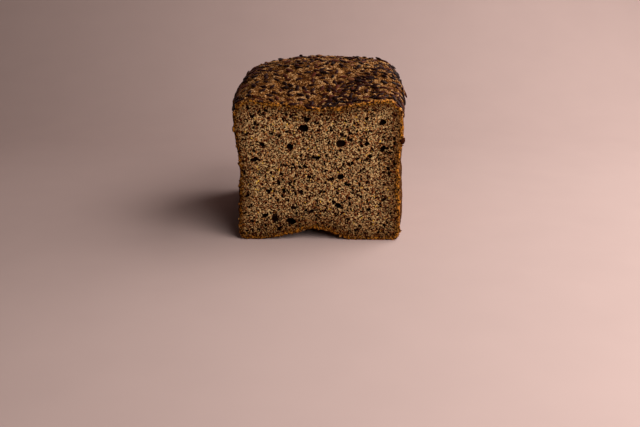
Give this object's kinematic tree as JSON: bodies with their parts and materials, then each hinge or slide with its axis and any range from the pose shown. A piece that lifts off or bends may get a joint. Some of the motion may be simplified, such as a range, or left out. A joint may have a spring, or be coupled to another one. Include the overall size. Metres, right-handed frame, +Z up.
{
  "type": "flaxseed bread",
  "caption": "Half of a tin-baked flaxseed loaf, cut straight across: open porous cut face, sunken seeded top, rounded heel, standing on its base.",
  "frame": {"origin": "on the ground under the middle of the half loaf's box", "axes": "+Z up, -Y out of the cut face, +Y towards the baked heel, +X to the right seen from the cut face"},
  "size_m": [0.0956, 0.1014, 0.0873],
  "materials": {
    "bread": "matte porous dark crumb, browned crust, glossy dark flax seeds on top"
  },
  "bodies": {
    "root": {"loaf": "bread"}
  },
  "joints": []
}
